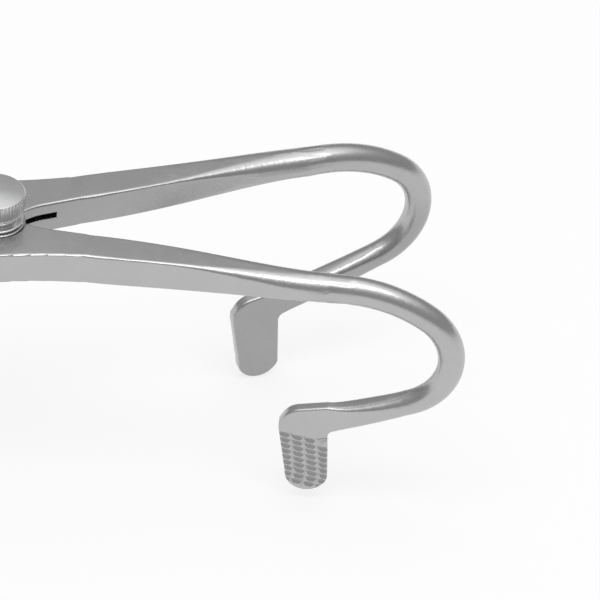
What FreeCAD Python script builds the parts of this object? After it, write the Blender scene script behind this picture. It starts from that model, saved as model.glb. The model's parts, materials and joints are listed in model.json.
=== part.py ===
import FreeCAD, Part
import os

import Sketcher
from FreeCAD import Placement, Rotation, Vector

# Mouth gag for holding a patient's jaws apart. Two forged arms meet in a fork-and-tongue joint, which
# a knurled thumb screw clamps. In front each arm is a square bar that becomes a round rod, turns
# down and back in a U and ends in a flat, cross-serrated plate. Behind the joint it is a handle.
#
# Millimetres. The origin is on the pivot axis at mid-thickness of the arms, +X points to the jaws,
# +Z to the screw's head, and the fork arm lies at +Y. Each arm is drawn in its own frame, with x
# along the upright plane that holds its U, and is then turned about the pivot to the resting pose.

SIZES = {
    # Angle from the middle plane to each arm in the resting pose.
    "half_opening": 11.84,
    # Joint block of each arm, seen from above: x forward, y outward from the middle plane.
    "joint_thickness": 6.8,
    "block_front": 19.0,
    "block_front_inner": 2.1,
    "block_front_outer": 8.75,
    "block_rear": 12.0,
    "block_rear_inner": 7.9,
    "block_rear_outer": 17.3,
    "waist_radius": 100.0,
    "throat_start": 11.0,
    "throat_inner": 1.6,
    "throat_radius": 13.0,
    "ear_front_angle": 3.0,
    "ear_rear_angle": 158.0,
    "ear_corner": 0.5,
    "edge_round": 0.45,
    # How far the forged bar, leg and handle stand inside the pieces that they run into.
    "seam_step": 0.08,
    # Fork and tongue.
    "cheek_radius": 6.4,
    "tongue_thickness": 1.4,
    "tongue_rise": 0.35,
    "slot_front": 14.2,
    "side_clearance": 0.05,
    "swing_clearance": 0.3,
    # Square bar: its middle, its tip and the length over which it becomes round.
    "bar_middle": 31.0,
    "bar_middle_inner": 2.35,
    "bar_middle_outer": 8.25,
    "bar_middle_height": 6.6,
    "bar_tip": 45.0,
    "bar_tip_inner": 3.1,
    "bar_tip_outer": 8.1,
    "bar_tip_height": 6.3,
    "bar_tip_corner": 0.9,
    "bar_easing": 58.0,
    "bar_easing_inner": 3.6,
    "bar_easing_outer": 9.0,
    "bar_easing_height": 6.0,
    "bar_easing_corner": 2.2,
    # Round rod and its two bends. The U stands upright at this distance from the arm's own axis.
    "rod_start": 70.0,
    "rod_offset": 6.47,
    "rod_diameter": 5.9,
    "rod_end_diameter": 5.1,
    "bend_start": 73.5,
    "wide_bend_radius": 29.9,
    "wide_bend_angle": 34.6,
    "tight_bend_radius": 12.4,
    "tight_bend_angle": 123.3,
    # Return leg, from the bend to the middle of the heel, and its flattening.
    "fork_leg": 27.5,
    "tongue_leg": 21.8,
    "leg_easing": 0.5,
    "leg_easing_width": 5.5,
    "leg_easing_thickness": 4.5,
    "heel_reach": 5.5,
    "heel_above": 4.9,
    "heel_below": 2.9,
    # Tooth plate, in its own frame: u forward, v up along the plate, from the middle of the heel.
    "plate_thickness": 2.5,
    "plate_lean": 7.0,
    "plate_setback": 1.1,
    "plate_half_width": 4.85,
    "plate_reach": 16.9,
    "plate_tip_radius": 4.25,
    "plate_shoulder": 2.0,
    "heel_rise": 5.2,
    "heel_radius": 4.5,
    "instep_radius": 2.0,
    "plate_edge_round": 0.5,
    # Teeth on the plate's outer face.
    "tooth_depth": 0.45,
    "tooth_half_width": 0.6,
    "row_start": 3.4,
    "row_pitch": 1.45,
    "row_count": 9,
    "column_half_width": 0.65,
    "column_pitch": 2.5,
    "column_count": 3,
    # Handle stations behind the pivot: distance, inner edge, outer edge, height.
    "neck_station": 26.0,
    "neck_inner": 17.1,
    "neck_outer": 24.1,
    "neck_height": 6.9,
    "bow_station": 45.0,
    "bow_inner": 28.0,
    "bow_outer": 33.7,
    "bow_height": 8.0,
    "grip_station": 62.0,
    "grip_inner": 33.6,
    "grip_outer": 39.0,
    "grip_height": 9.0,
    "grip_corner": 1.0,
    "end_station": 88.0,
    "end_inner": 36.7,
    "end_outer": 42.1,
    "end_round": 5.2,
    # Finger grooves across the handle's outer face.
    "groove_first": 64.0,
    "groove_pitch": 2.4,
    "groove_count": 9,
    "groove_radius": 1.2,
    "groove_depth": 0.5,
    # Thumb screw, washer and stop collar.
    "screw_diameter": 4.0,
    "bore_clearance": 0.05,
    "head_diameter": 11.8,
    "head_edge": 0.35,
    "knurl_height": 3.4,
    "dome_rise": 0.3,
    "neck_rise": 2.6,
    "neck_radius": 4.4,
    "neck_curve": 6.0,
    "flute_count": 48,
    "flute_radius": 0.3,
    "washer_diameter": 11.8,
    "washer_thickness": 0.9,
    "washer_round": 0.3,
    "collar_diameter": 5.6,
    "collar_thickness": 0.6,
    "collar_edge": 0.1,
    "collar_clearance": 0.3,
    "collar_fit": 0.02,
    "screw_lift": 0.8,
}

doc = FreeCAD.newDocument("mouth_gag")
sheet = doc.addObject("Spreadsheet::Sheet", "sizes")
for row, (alias, value) in enumerate(SIZES.items(), start=1):
    sheet.set(f"A{row}", alias.replace("_", " "))
    sheet.set(f"B{row}", str(value))
    sheet.setAlias(f"B{row}", alias)
doc.recompute()

# Lengths that follow from the driving ones, as formulas on the sheet.
HALF_JOINT = "sizes.joint_thickness / 2"
SLOT_HALF = "(sizes.tongue_thickness / 2 + sizes.side_clearance)"
TONGUE_RADIUS = "(sizes.cheek_radius - sizes.swing_clearance)"
BORE_RADIUS = "(sizes.screw_diameter / 2 + sizes.bore_clearance)"
WHOLE_TURN = "(sizes.wide_bend_angle + sizes.tight_bend_angle)"
WIDE_END_X = "(sizes.bend_start + sizes.wide_bend_radius * sin(sizes.wide_bend_angle))"
WIDE_END_Z = "(-sizes.wide_bend_radius * (1 - cos(sizes.wide_bend_angle)))"
BEND_END_X = (f"({WIDE_END_X} + sizes.tight_bend_radius"
              f" * (sin({WHOLE_TURN}) - sin(sizes.wide_bend_angle)))")
BEND_END_Z = (f"({WIDE_END_Z} + sizes.tight_bend_radius"
              f" * (cos({WHOLE_TURN}) - cos(sizes.wide_bend_angle)))")
NECK_LEVEL = f"({HALF_JOINT} + sizes.washer_thickness)"

# The plate's outline in its own frame: where the leg joins it, its two sides, the inner corner and
# the points where the sides touch the tip's circle.
LEG_RISE = f"(180 - {WHOLE_TURN} - sizes.plate_lean)"
HEEL_X = f"sizes.heel_reach * cos({LEG_RISE})"
HEEL_Z = f"sizes.heel_reach * sin({LEG_RISE})"
PLATE_BACK = "(-sizes.plate_setback - sizes.plate_half_width)"
PLATE_FRONT = "(-sizes.plate_setback + sizes.plate_half_width)"
INSTEP_LEVEL = (f"({HEEL_Z} - sizes.heel_below * cos({LEG_RISE})"
                f" - ({HEEL_X} + sizes.heel_below * sin({LEG_RISE}) - {PLATE_FRONT})"
                f" * tan({LEG_RISE}))")
TIP_DROP = "(sizes.plate_reach - sizes.plate_tip_radius)"
SIDE_RUN = f"sqrt(({TIP_DROP} - sizes.plate_shoulder)^2 + sizes.plate_half_width^2)"
NARROWING = (f"(asin(sizes.plate_half_width / {SIDE_RUN})"
             f" - asin(sizes.plate_tip_radius / {SIDE_RUN}))")
TOUCH = f"sizes.plate_tip_radius * cos({NARROWING})"
TOUCH_LEVEL = f"-{TIP_DROP} - sizes.plate_tip_radius * sin({NARROWING})"

# How near two places are to count as one, when edges are picked out and cuts are checked.
SNUG = 1e-4


def number(formula):
    """The present value of a formula on the sheet."""
    return float(sheet.evalExpression(formula))


def new_sketch(body, name, plane, base=("0", "0", "0"), axis=(0, 0, 1), angle="0"):
    """A sketch on one of the body's origin planes, moved by base and turned about axis."""
    sketch = body.newObject("Sketcher::SketchObject", name)
    support = next(item for item in body.Origin.OriginFeatures if item.Role == plane)
    sketch.AttachmentSupport = (support, [""])
    sketch.MapMode = "FlatFace"
    place = Vector(*[number(formula) for formula in base])
    sketch.AttachmentOffset = Placement(place, Rotation(Vector(*axis), number(angle)))
    for letter, formula in zip("xyz", base):
        sketch.setExpression(f".AttachmentOffset.Base.{letter}", formula)
    sketch.setExpression(".AttachmentOffset.Rotation.Angle", angle)
    return sketch


def bind(sketch, constraint, formula):
    """Add a dimension and tie it to its formula."""
    index = sketch.addConstraint(constraint)
    sketch.setExpression(f"Constraints[{index}]", formula)


def pin(sketch, edge, end, x, y):
    """Hold one end of an edge at x, y from the sketch's origin."""
    bind(sketch, Sketcher.Constraint("DistanceX", -1, 1, edge, end, number(x)), x)
    bind(sketch, Sketcher.Constraint("DistanceY", -1, 1, edge, end, number(y)), y)


def left_arc(start, end, radius):
    """The arc under half a turn that runs anticlockwise from start to end."""
    chord = end - start
    side = Vector(-chord.y, chord.x, 0).normalize()
    rise = (radius ** 2 - (chord.Length / 2) ** 2) ** 0.5
    centre = (start + end) / 2 + side * rise
    first = Vector(1, 0, 0).getAngle(start - centre)
    last = Vector(1, 0, 0).getAngle(end - centre)
    if start.y < centre.y:
        first = -first
    if end.y < centre.y:
        last = -last
    return Part.ArcOfCircle(Part.Circle(centre, Vector(0, 0, 1), radius), first, last)


def draw(sketch, vertices, closed=True):
    """Join vertices in order. (x, y) starts a straight edge, and (x, y, radius, turn) an arc that
    turns left or right, each to the next vertex."""
    points = [Vector(number(vertex[0]), number(vertex[1]), 0) for vertex in vertices]
    count = len(vertices) if closed else len(vertices) - 1
    edges = []
    for index in range(count):
        start = points[index]
        end = points[(index + 1) % len(points)]
        vertex = vertices[index]
        if len(vertex) == 2:
            edge = sketch.addGeometry(Part.LineSegment(start, end))
            edges.append((edge, 1, 2))
        elif vertex[3] == "left":
            edge = sketch.addGeometry(left_arc(start, end, number(vertex[2])))
            edges.append((edge, 1, 2))
        else:
            edge = sketch.addGeometry(left_arc(end, start, number(vertex[2])))
            edges.append((edge, 2, 1))
        if len(vertex) == 4:
            bind(sketch, Sketcher.Constraint("Radius", edge, number(vertex[2])), vertex[2])
        pin(sketch, edge, edges[-1][1], vertex[0], vertex[1])
    for (edge, begin, finish), (after, after_begin, after_finish) in zip(edges, edges[1:]):
        sketch.addConstraint(Sketcher.Constraint("Coincident", edge, finish, after, after_begin))
    if closed:
        last, first = edges[-1], edges[0]
        sketch.addConstraint(Sketcher.Constraint("Coincident", last[0], last[2], first[0], first[1]))
    else:
        pin(sketch, edges[-1][0], edges[-1][2], vertices[-1][0], vertices[-1][1])


def draw_circle(sketch, radius, x="0", y="0"):
    """A circle of a given radius about x, y."""
    place = Vector(number(x), number(y), 0)
    edge = sketch.addGeometry(Part.Circle(place, Vector(0, 0, 1), number(radius)))
    bind(sketch, Sketcher.Constraint("Radius", edge, number(radius)), radius)
    pin(sketch, edge, 3, x, y)


def draw_square_section(sketch, left, right, bottom, top, corner):
    """A bar's section with rounded corners."""
    draw(sketch, [
        (f"{left} + {corner}", bottom),
        (f"{right} - {corner}", bottom, corner, "left"),
        (right, f"{bottom} + {corner}"),
        (right, f"{top} - {corner}", corner, "left"),
        (f"{right} - {corner}", top),
        (f"{left} + {corner}", top, corner, "left"),
        (left, f"{top} - {corner}"),
        (left, f"{bottom} + {corner}", corner, "left"),
    ])


def draw_round_section(sketch, radius, x):
    """A rod's section in eight arcs, which meet where a square section's edges do."""
    draw(sketch, [
        (f"{x} + {radius} * cos({angle})", f"{radius} * sin({angle})", radius, "left")
        for angle in ["-112.5", "-67.5", "-22.5", "22.5", "67.5", "112.5", "157.5", "202.5"]
    ])


def outward(side, inner, outer):
    """Left and right edges of a section that runs from inner to outer on one side."""
    if side > 0:
        return inner, outer
    return f"-{outer}", f"-{inner}"


def station(body, name, side, x, inner, outer, height, corner):
    """One square section of an arm, across its own x axis."""
    sketch = new_sketch(body, name, "YZ_Plane", ("0", "0", x))
    left, right = outward(side, inner, outer)
    draw_square_section(sketch, left, right, f"-{height} / 2", f"{height} / 2", corner)
    return sketch


def along_leg(distance):
    """The point of the return leg at a distance from the bend, as formulas for x and z."""
    return (f"({BEND_END_X} + {distance} * cos({WHOLE_TURN}))",
            f"({BEND_END_Z} - {distance} * sin({WHOLE_TURN}))")


def named_edges(shape, wanted):
    """Names of the edges that a test picks out."""
    return [f"Edge{index}" for index, edge in enumerate(shape.Edges, start=1) if wanted(edge)]


def stands_at(place, direction):
    """A test for the straight edge that runs through a place in a given direction."""
    def wanted(edge):
        ends = [vertex.Point for vertex in edge.Vertexes]
        return all((end - place).cross(direction).Length < SNUG for end in ends)
    return wanted


def add_fillet(body, name, base, wanted, radius):
    """Round the edges of a feature that a test picks out."""
    fillet = body.newObject("PartDesign::Fillet", name)
    fillet.Base = (base, named_edges(base.Shape, wanted))
    fillet.setExpression("Radius", radius)
    doc.recompute()
    return fillet


def add_pad(body, name, sketch, length, middle=True):
    """Thicken a sketch, to both sides of it or upward."""
    pad = body.newObject("PartDesign::Pad", name)
    pad.Profile = sketch
    pad.Midplane = middle
    pad.setExpression("Length", length)
    doc.recompute()
    return pad


def add_pocket(body, name, sketch, length=None, upward=False, middle=False):
    """Cut a sketch out of the body, right through it where no length is given."""
    volume = body.Shape.Volume
    pocket = body.newObject("PartDesign::Pocket", name)
    pocket.Profile = sketch
    pocket.Midplane = middle
    pocket.Reversed = upward
    if length is None:
        pocket.Type = "ThroughAll"
    else:
        pocket.setExpression("Length", length)
    doc.recompute()
    if not pocket.Shape.Volume < volume - SNUG:
        raise ValueError(f"{body.Label}: {name} cuts nothing")
    return pocket


def add_row(body, name, feature, direction, pitch, count):
    """Repeat a cut along one axis of a sketch."""
    row = body.newObject("PartDesign::LinearPattern", name)
    row.Originals = [feature]
    row.Direction = direction
    row.setExpression("Length", f"{pitch} * ({count} - 1)")
    row.setExpression("Occurrences", count)
    body.Tip = row
    doc.recompute()
    return row


def make_plate(body, side, leg):
    """The tooth plate: a flat boot shape with a round heel, a round tip and softened rims."""
    x, z = along_leg(leg)
    offset = f"{side} * sizes.rod_offset"
    sketch = new_sketch(body, "plate_outline", "XZ_Plane", (x, z, f"-({offset})"), (0, 0, 1),
                        "sizes.plate_lean")
    draw(sketch, [
        (f"{HEEL_X} - sizes.heel_above * sin({LEG_RISE})",
         f"{HEEL_Z} + sizes.heel_above * cos({LEG_RISE})"),
        (PLATE_BACK, "sizes.heel_rise"),
        (PLATE_BACK, "-sizes.plate_shoulder"),
        (f"-sizes.plate_setback - {TOUCH}", TOUCH_LEVEL, "sizes.plate_tip_radius", "left"),
        ("-sizes.plate_setback", "-sizes.plate_reach", "sizes.plate_tip_radius", "left"),
        (f"-sizes.plate_setback + {TOUCH}", TOUCH_LEVEL),
        (PLATE_FRONT, "-sizes.plate_shoulder"),
        (PLATE_FRONT, INSTEP_LEVEL),
        (f"{HEEL_X} + sizes.heel_below * sin({LEG_RISE})",
         f"{HEEL_Z} - sizes.heel_below * cos({LEG_RISE})"),
    ])
    pad = add_pad(body, "plate", sketch, "sizes.plate_thickness")
    place = sketch.Placement
    heel = place.multVec(Vector(number(PLATE_BACK), number("sizes.heel_rise"), 0))
    instep = place.multVec(Vector(number(PLATE_FRONT), number(INSTEP_LEVEL), 0))
    across = Vector(0, 1, 0)
    heel_round = add_fillet(body, "heel_round", pad, stands_at(heel, across), "sizes.heel_radius")
    instep_round = add_fillet(body, "instep_round", heel_round, stands_at(instep, across),
                              "sizes.instep_radius")
    middle = place.Base.y
    leg_way = place.Rotation.multVec(Vector(number(f"cos({LEG_RISE})"), number(f"sin({LEG_RISE})"), 0))
    seam = place.multVec(Vector(number(HEEL_X), number(HEEL_Z), 0))

    def on_rim(edge):
        """True on both flat faces, except where the leg runs on."""
        ends = [vertex.Point for vertex in edge.Vertexes]
        flat = all(abs(abs(end.y - middle) - number("sizes.plate_thickness / 2")) < SNUG
                   for end in ends) and abs(ends[0].y - ends[-1].y) < SNUG
        return flat and not all(abs((end - seam).dot(leg_way)) < SNUG for end in ends)

    return add_fillet(body, "plate_rims", instep_round, on_rim, "sizes.plate_edge_round")


def draw_notch(sketch, side, along, level, half_width, across_first):
    """A V notch in the plate's outer face, drawn to stand a little proud of that face."""
    face = f"{side} * sizes.plate_thickness / 2"
    proud = f"{side} * sizes.tooth_depth"
    points = [(f"{face} + {proud}", f"{level} + 2 * {half_width}"),
              (f"{face} - {proud}", level),
              (f"{face} + {proud}", f"{level} - 2 * {half_width}")]
    if side < 0:
        points = points[::-1]
    if not across_first:
        points = [(second, first) for first, second in points][::-1]
    draw(sketch, points)


def make_teeth(body, side, leg):
    """Crossed V notches that leave the plate's outer face covered in small pyramids."""
    x, z = along_leg(leg)
    offset = f"{side} * sizes.rod_offset"
    rows = new_sketch(body, "tooth_row", "YZ_Plane", (offset, z, x), (1, 0, 0), "-sizes.plate_lean")
    draw_notch(rows, side, "x", "-sizes.row_start", "sizes.tooth_half_width", True)
    first_row = add_pocket(body, "row_cut", rows, middle=True)
    downward = new_sketch(body, "row_axis", "YZ_Plane", (offset, z, x), (1, 0, 0),
                          "180 - sizes.plate_lean")
    add_row(body, "tooth_rows", first_row, (downward, ["V_Axis"]), "sizes.row_pitch",
            "sizes.row_count")
    top = "(sizes.row_start - sizes.row_pitch / 2)"
    columns = new_sketch(body, "tooth_column", "XY_Plane",
                         (f"{x} + {top} * sin(sizes.plate_lean)", offset,
                          f"{z} - {top} * cos(sizes.plate_lean)"), (0, 1, 0), "-sizes.plate_lean")
    draw_notch(columns, side, "z",
               "-sizes.plate_setback - sizes.column_pitch * (sizes.column_count - 1) / 2",
               "sizes.column_half_width", False)
    first_column = add_pocket(body, "column_cut", columns)
    add_row(body, "tooth_columns", first_column, (columns, ["H_Axis"]), "sizes.column_pitch",
            "sizes.column_count")


def make_leg(body, side, leg):
    """The end of the return leg, forged from a round rod to the plate's flat section."""
    offset = f"{side} * sizes.rod_offset"
    run = f"({leg} - sizes.heel_reach)"

    def leg_sketch(name, share):
        x, z = along_leg(f"{run} * {share}")
        return new_sketch(body, name, "YZ_Plane", (offset, z, x), (1, 0, 0), WHOLE_TURN)

    start = leg_sketch("leg_start", "0")
    draw_round_section(start, "sizes.rod_end_diameter / 2", "0")
    middle = leg_sketch("leg_middle", "sizes.leg_easing")
    draw_square_section(middle, "-sizes.leg_easing_thickness / 2", "sizes.leg_easing_thickness / 2",
                        "-sizes.leg_easing_width / 2", "sizes.leg_easing_width / 2",
                        "sizes.leg_easing_thickness * 0.38")
    heel = leg_sketch("leg_heel", "1")
    half = "(sizes.plate_thickness / 2 - sizes.seam_step)"
    draw_square_section(heel, f"-{half}", half, "-(sizes.heel_above - sizes.seam_step)",
                        "(sizes.heel_below - sizes.seam_step)", "sizes.plate_edge_round")
    loft = body.newObject("PartDesign::AdditiveLoft", "flattened_leg")
    loft.Profile = start
    loft.Sections = [middle, heel]
    doc.recompute()


def make_bend(body, side):
    """The round rod: a short straight run and two tangent arcs, thinner towards its end."""
    offset = f"{side} * sizes.rod_offset"
    path = new_sketch(body, "rod_path", "XZ_Plane", ("0", "0", f"-({offset})"))
    draw(path, [
        ("sizes.rod_start", "0"),
        ("sizes.bend_start", "0", "sizes.wide_bend_radius", "right"),
        (WIDE_END_X, WIDE_END_Z, "sizes.tight_bend_radius", "right"),
        (BEND_END_X, BEND_END_Z),
    ], closed=False)
    start = new_sketch(body, "rod_section", "YZ_Plane", (offset, "0", "sizes.rod_start"))
    draw_round_section(start, "sizes.rod_diameter / 2", "0")
    end = new_sketch(body, "rod_end_section", "YZ_Plane", (offset, BEND_END_Z, BEND_END_X),
                     (1, 0, 0), WHOLE_TURN)
    draw_round_section(end, "sizes.rod_end_diameter / 2", "0")
    doc.recompute()
    pipe = body.newObject("PartDesign::AdditivePipe", "bent_rod")
    pipe.Profile = start
    pipe.Spine = (path, ["Edge1", "Edge2", "Edge3"])
    pipe.Transformation = "Multisection"
    pipe.Sections = [end]
    doc.recompute()


def make_bar(body, side):
    """The square bar, which swells and rounds off into the rod."""
    block = station(body, "bar_root", side, "sizes.block_front",
                    "(sizes.block_front_inner + sizes.seam_step)",
                    "(sizes.block_front_outer - sizes.seam_step)",
                    "(sizes.joint_thickness - 2 * sizes.seam_step)", "sizes.edge_round")
    middle = station(body, "bar_middle", side, "sizes.bar_middle", "sizes.bar_middle_inner",
                     "sizes.bar_middle_outer", "sizes.bar_middle_height", "sizes.edge_round")
    tip = station(body, "bar_tip", side, "sizes.bar_tip", "sizes.bar_tip_inner",
                  "sizes.bar_tip_outer", "sizes.bar_tip_height", "sizes.bar_tip_corner")
    easing = station(body, "bar_easing", side, "sizes.bar_easing", "sizes.bar_easing_inner",
                     "sizes.bar_easing_outer", "sizes.bar_easing_height", "sizes.bar_easing_corner")
    rod = new_sketch(body, "bar_end", "YZ_Plane", ("0", "0", "sizes.rod_start"))
    draw_round_section(rod, "sizes.rod_diameter / 2", f"{side} * sizes.rod_offset")
    loft = body.newObject("PartDesign::AdditiveLoft", "square_bar")
    loft.Profile = rod
    loft.Sections = [easing, tip, middle, block]
    doc.recompute()


def make_block(body, side, ear_radius):
    """The joint block, with a round ear about the pivot, waisted sides and softened rims."""
    front_x = f"{ear_radius} * cos(sizes.ear_front_angle)"
    front_y = f"{ear_radius} * sin(sizes.ear_front_angle)"
    rear_x = f"{ear_radius} * cos(sizes.ear_rear_angle)"
    rear_y = f"{ear_radius} * sin(sizes.ear_rear_angle)"
    corners = [
        ("sizes.block_front", "sizes.block_front_outer", "sizes.waist_radius", "right"),
        ("-sizes.block_rear", "sizes.block_rear_outer"),
        ("-sizes.block_rear", "sizes.block_rear_inner"),
        (rear_x, rear_y, ear_radius, "left"),
        ("0", f"-{ear_radius}", ear_radius, "left"),
        (front_x, front_y, "sizes.throat_radius", "right"),
        ("sizes.throat_start", "sizes.throat_inner"),
        ("sizes.block_front", "sizes.block_front_inner"),
    ]
    if side < 0:
        corners = mirrored(corners)
    sketch = new_sketch(body, "block_outline", "XY_Plane")
    draw(sketch, corners)
    pad = add_pad(body, "joint_block", sketch, "sizes.joint_thickness")
    seams = [number("sizes.block_front"), number("-sizes.block_rear")]

    def rim_at(level):
        """A test for one rim, which leaves out where the bar and the handle run on."""
        def wanted(edge):
            ends = [vertex.Point for vertex in edge.Vertexes]
            flat = all(abs(end.z - level) < SNUG for end in ends)
            return flat and not any(all(abs(end.x - seam) < SNUG for end in ends) for seam in seams)
        return wanted

    half = number(HALF_JOINT)
    upright = Vector(0, 0, 1)
    for name, x, y in (("ear_front", front_x, front_y), ("ear_rear", rear_x, rear_y)):
        corner = Vector(number(x), side * number(y), 0)
        pad = add_fillet(body, name, pad, stands_at(corner, upright), "sizes.ear_corner")
    upper = add_fillet(body, "upper_rim", pad, rim_at(half), "sizes.edge_round")
    add_fillet(body, "lower_rim", upper, rim_at(-half), "sizes.edge_round")


def mirrored(corners):
    """The same outline on the other side of the middle plane, still anticlockwise."""
    flipped = []
    for index, corner in enumerate(corners):
        before = corners[index - 1]
        flipped.append((corner[0], f"-({corner[1]})") + before[2:])
    return flipped[::-1]


def make_handle(body, side):
    """The handle: it bows outward, deepens into a finger grip and has a round end."""
    root = station(body, "handle_root", side, "-sizes.block_rear",
                   "(sizes.block_rear_inner + sizes.seam_step)",
                   "(sizes.block_rear_outer - sizes.seam_step)",
                   "(sizes.joint_thickness - 2 * sizes.seam_step)", "sizes.edge_round")
    neck = station(body, "handle_neck", side, "-sizes.neck_station", "sizes.neck_inner",
                   "sizes.neck_outer", "sizes.neck_height", "sizes.edge_round")
    bow = station(body, "handle_bow", side, "-sizes.bow_station", "sizes.bow_inner",
                  "sizes.bow_outer", "sizes.bow_height", "sizes.grip_corner")
    grip = station(body, "handle_grip", side, "-sizes.grip_station", "sizes.grip_inner",
                   "sizes.grip_outer", "sizes.grip_height", "sizes.grip_corner")
    end = station(body, "handle_end", side, "-sizes.end_station", "sizes.end_inner",
                  "sizes.end_outer", "sizes.grip_height", "sizes.grip_corner")
    loft = body.newObject("PartDesign::AdditiveLoft", "handle")
    loft.Profile = root
    loft.Sections = [neck, bow, grip, end]
    doc.recompute()
    rounding = new_sketch(body, "handle_end_round", "XZ_Plane")
    centre = "(-sizes.end_station + sizes.end_round)"
    draw(rounding, [
        (centre, "sizes.end_round", "sizes.end_round", "left"),
        ("-sizes.end_station", "0", "sizes.end_round", "left"),
        (centre, "-sizes.end_round"),
        ("-sizes.end_station - sizes.end_round", "-sizes.end_round"),
        ("-sizes.end_station - sizes.end_round", "sizes.end_round"),
    ])
    add_pocket(body, "handle_tip", rounding, middle=True)


def make_grooves(body, side):
    """Shallow round grooves across the outer face of the grip."""
    slope = ("(sizes.end_outer - sizes.grip_outer)"
             " / (sizes.end_station - sizes.grip_station)")
    face = f"{side} * (sizes.grip_outer + (sizes.groove_first - sizes.grip_station) * {slope})"
    sketch = new_sketch(body, "finger_groove", "XY_Plane", ("-sizes.groove_first", face, "0"),
                        (0, 0, 1), f"180 deg - {side} * atan({slope})")
    draw_circle(sketch, "sizes.groove_radius",
                y=f"-{side} * (sizes.groove_radius - sizes.groove_depth)")
    first = add_pocket(body, "groove_cut", sketch, middle=True)
    add_row(body, "finger_grooves", first, (sketch, ["H_Axis"]), "sizes.groove_pitch",
            "sizes.groove_count")


def make_bore(body, radius):
    """The hole for the thumb screw."""
    sketch = new_sketch(body, "screw_bore", "XY_Plane")
    draw_circle(sketch, radius)
    add_pocket(body, "screw_hole", sketch, middle=True)


def make_fork(body):
    """The slot for the tongue, and the recess under the lower cheek for the stop collar."""
    sketch = new_sketch(body, "slot_outline", "XY_Plane", ("0", "0", "sizes.tongue_rise"))
    draw(sketch, [
        ("-2 * sizes.block_rear", "-2 * sizes.cheek_radius"),
        ("sizes.slot_front", "-2 * sizes.cheek_radius"),
        ("sizes.slot_front", "sizes.cheek_radius"),
        ("-2 * sizes.block_rear", "sizes.cheek_radius"),
    ])
    add_pocket(body, "tongue_slot", sketch, f"2 * {SLOT_HALF}", middle=True)
    recess = new_sketch(body, "recess_outline", "XY_Plane", ("0", "0", f"-{HALF_JOINT}"))
    draw_circle(recess, "sizes.collar_diameter / 2 + sizes.collar_clearance")
    add_pocket(body, "collar_recess", recess, "sizes.collar_thickness + sizes.screw_lift",
               upward=True)


def make_tongue(body):
    """Cut the block back above and below, so that only a thin round tongue enters the fork."""
    for name, level, upward in (("over", "sizes.tongue_thickness / 2", True),
                                ("under", "-sizes.tongue_thickness / 2", False)):
        sketch = new_sketch(body, f"{name}_outline", "XY_Plane",
                            ("0", "0", f"sizes.tongue_rise + {level}"))
        draw_circle(sketch, "sizes.cheek_radius + sizes.swing_clearance")
        add_pocket(body, f"{name}_tongue", sketch, upward=upward)


def make_arm(label, side, leg, ear_radius, make_joint):
    """One forged arm, with its tooth plate, turned to its place in the resting pose."""
    forging = doc.addObject("PartDesign::Body", f"{label}_forging")
    make_block(forging, side, ear_radius)
    make_handle(forging, side)
    make_bar(forging, side)
    make_bend(forging, side)
    make_leg(forging, side, leg)
    make_grooves(forging, side)
    make_joint(forging)
    make_bore(forging, BORE_RADIUS)
    plate = doc.addObject("PartDesign::Body", f"{label}_plate")
    make_plate(plate, side, leg)
    make_teeth(plate, side, leg)
    arm = doc.addObject("Part::Fuse", label)
    arm.Base = forging
    arm.Tool = plate
    arm.Placement = Placement(Vector(), Rotation(Vector(0, 0, side), number("sizes.half_opening")))
    arm.setExpression("Placement.Rotation.Angle", "sizes.half_opening")
    arm.Label = label
    return arm


def make_screw(label):
    """The thumb screw: a plain shank, a tapered neck and a fluted head with a low dome."""
    body = doc.addObject("PartDesign::Body", label)
    body.Label = label
    rim = "sizes.head_diameter / 2"
    sketch = new_sketch(body, "screw_profile", "XZ_Plane")
    draw(sketch, [
        ("0", f"-{HALF_JOINT}"),
        ("sizes.screw_diameter / 2", f"-{HALF_JOINT}"),
        ("sizes.screw_diameter / 2", NECK_LEVEL),
        ("sizes.neck_radius", NECK_LEVEL, "sizes.neck_curve", "left"),
        (f"{rim} - sizes.head_edge", f"{NECK_LEVEL} + sizes.neck_rise"),
        (rim, f"{NECK_LEVEL} + sizes.neck_rise + sizes.head_edge"),
        (rim, f"{NECK_LEVEL} + sizes.neck_rise + sizes.knurl_height - sizes.head_edge"),
        (f"{rim} - sizes.head_edge", f"{NECK_LEVEL} + sizes.neck_rise + sizes.knurl_height",
         f"(({rim} - sizes.head_edge)^2 + sizes.dome_rise^2) / (2 * sizes.dome_rise)", "left"),
        ("0", f"{NECK_LEVEL} + sizes.neck_rise + sizes.knurl_height + sizes.dome_rise"),
    ])
    turned = body.newObject("PartDesign::Revolution", "turned_screw")
    turned.Profile = sketch
    turned.ReferenceAxis = (sketch, ["V_Axis"])
    turned.Angle = 360
    doc.recompute()
    flute = new_sketch(body, "flute_outline", "XY_Plane",
                       ("0", "0", f"{NECK_LEVEL} + sizes.neck_rise"))
    draw_circle(flute, "sizes.flute_radius", rim)
    cut = add_pocket(body, "flute_cut", flute, "sizes.knurl_height", upward=True)
    knurl = body.newObject("PartDesign::PolarPattern", "knurl")
    knurl.Originals = [cut]
    knurl.Axis = (flute, ["N_Axis"])
    knurl.Angle = 360
    knurl.setExpression("Occurrences", "sizes.flute_count")
    body.Tip = knurl
    doc.recompute()
    return body


def make_ring(label, level, outer, inner, thickness, edge):
    """A flat ring about the pivot, with its outer rims rounded."""
    body = doc.addObject("PartDesign::Body", label)
    body.Label = label
    sketch = new_sketch(body, f"{label}_outline", "XY_Plane", ("0", "0", level))
    draw_circle(sketch, outer)
    draw_circle(sketch, inner)
    ring = add_pad(body, f"{label}_disc", sketch, thickness, middle=False)
    radius = number(outer)

    def on_rim(edge):
        return edge.Curve.TypeId == "Part::GeomCircle" and abs(edge.Curve.Radius - radius) < SNUG

    add_fillet(body, f"{label}_rims", ring, on_rim, edge)
    return body


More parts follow.
